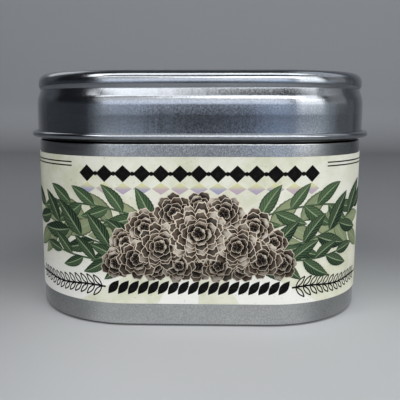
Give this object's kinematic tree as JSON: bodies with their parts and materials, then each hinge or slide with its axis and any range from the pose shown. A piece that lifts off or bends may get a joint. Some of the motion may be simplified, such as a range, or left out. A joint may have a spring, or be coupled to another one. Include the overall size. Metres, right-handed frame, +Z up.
{
  "type": "slip-lid tin with wrap label",
  "caption": "Rounded-square tinplate storage tin with a lift-off slip lid, a paper label wrapped round the wall and ground dried mushroom inside.",
  "frame": {"origin": "middle of the footprint, on the surface the tin stands on", "axes": "+Z up through the lid, -Y out of the front of the label, +X to the right of the label"},
  "size_m": [0.0866, 0.0866, 0.059],
  "materials": {
    "tinplate": "satin",
    "label_paper": "matte",
    "mushroom_powder": "matte"
  },
  "bodies": {
    "root": {"tin_body": "tinplate", "tin_lid": "tinplate", "wrap_label": "label_paper", "mushroom_powder": "mushroom_powder"}
  },
  "joints": []
}
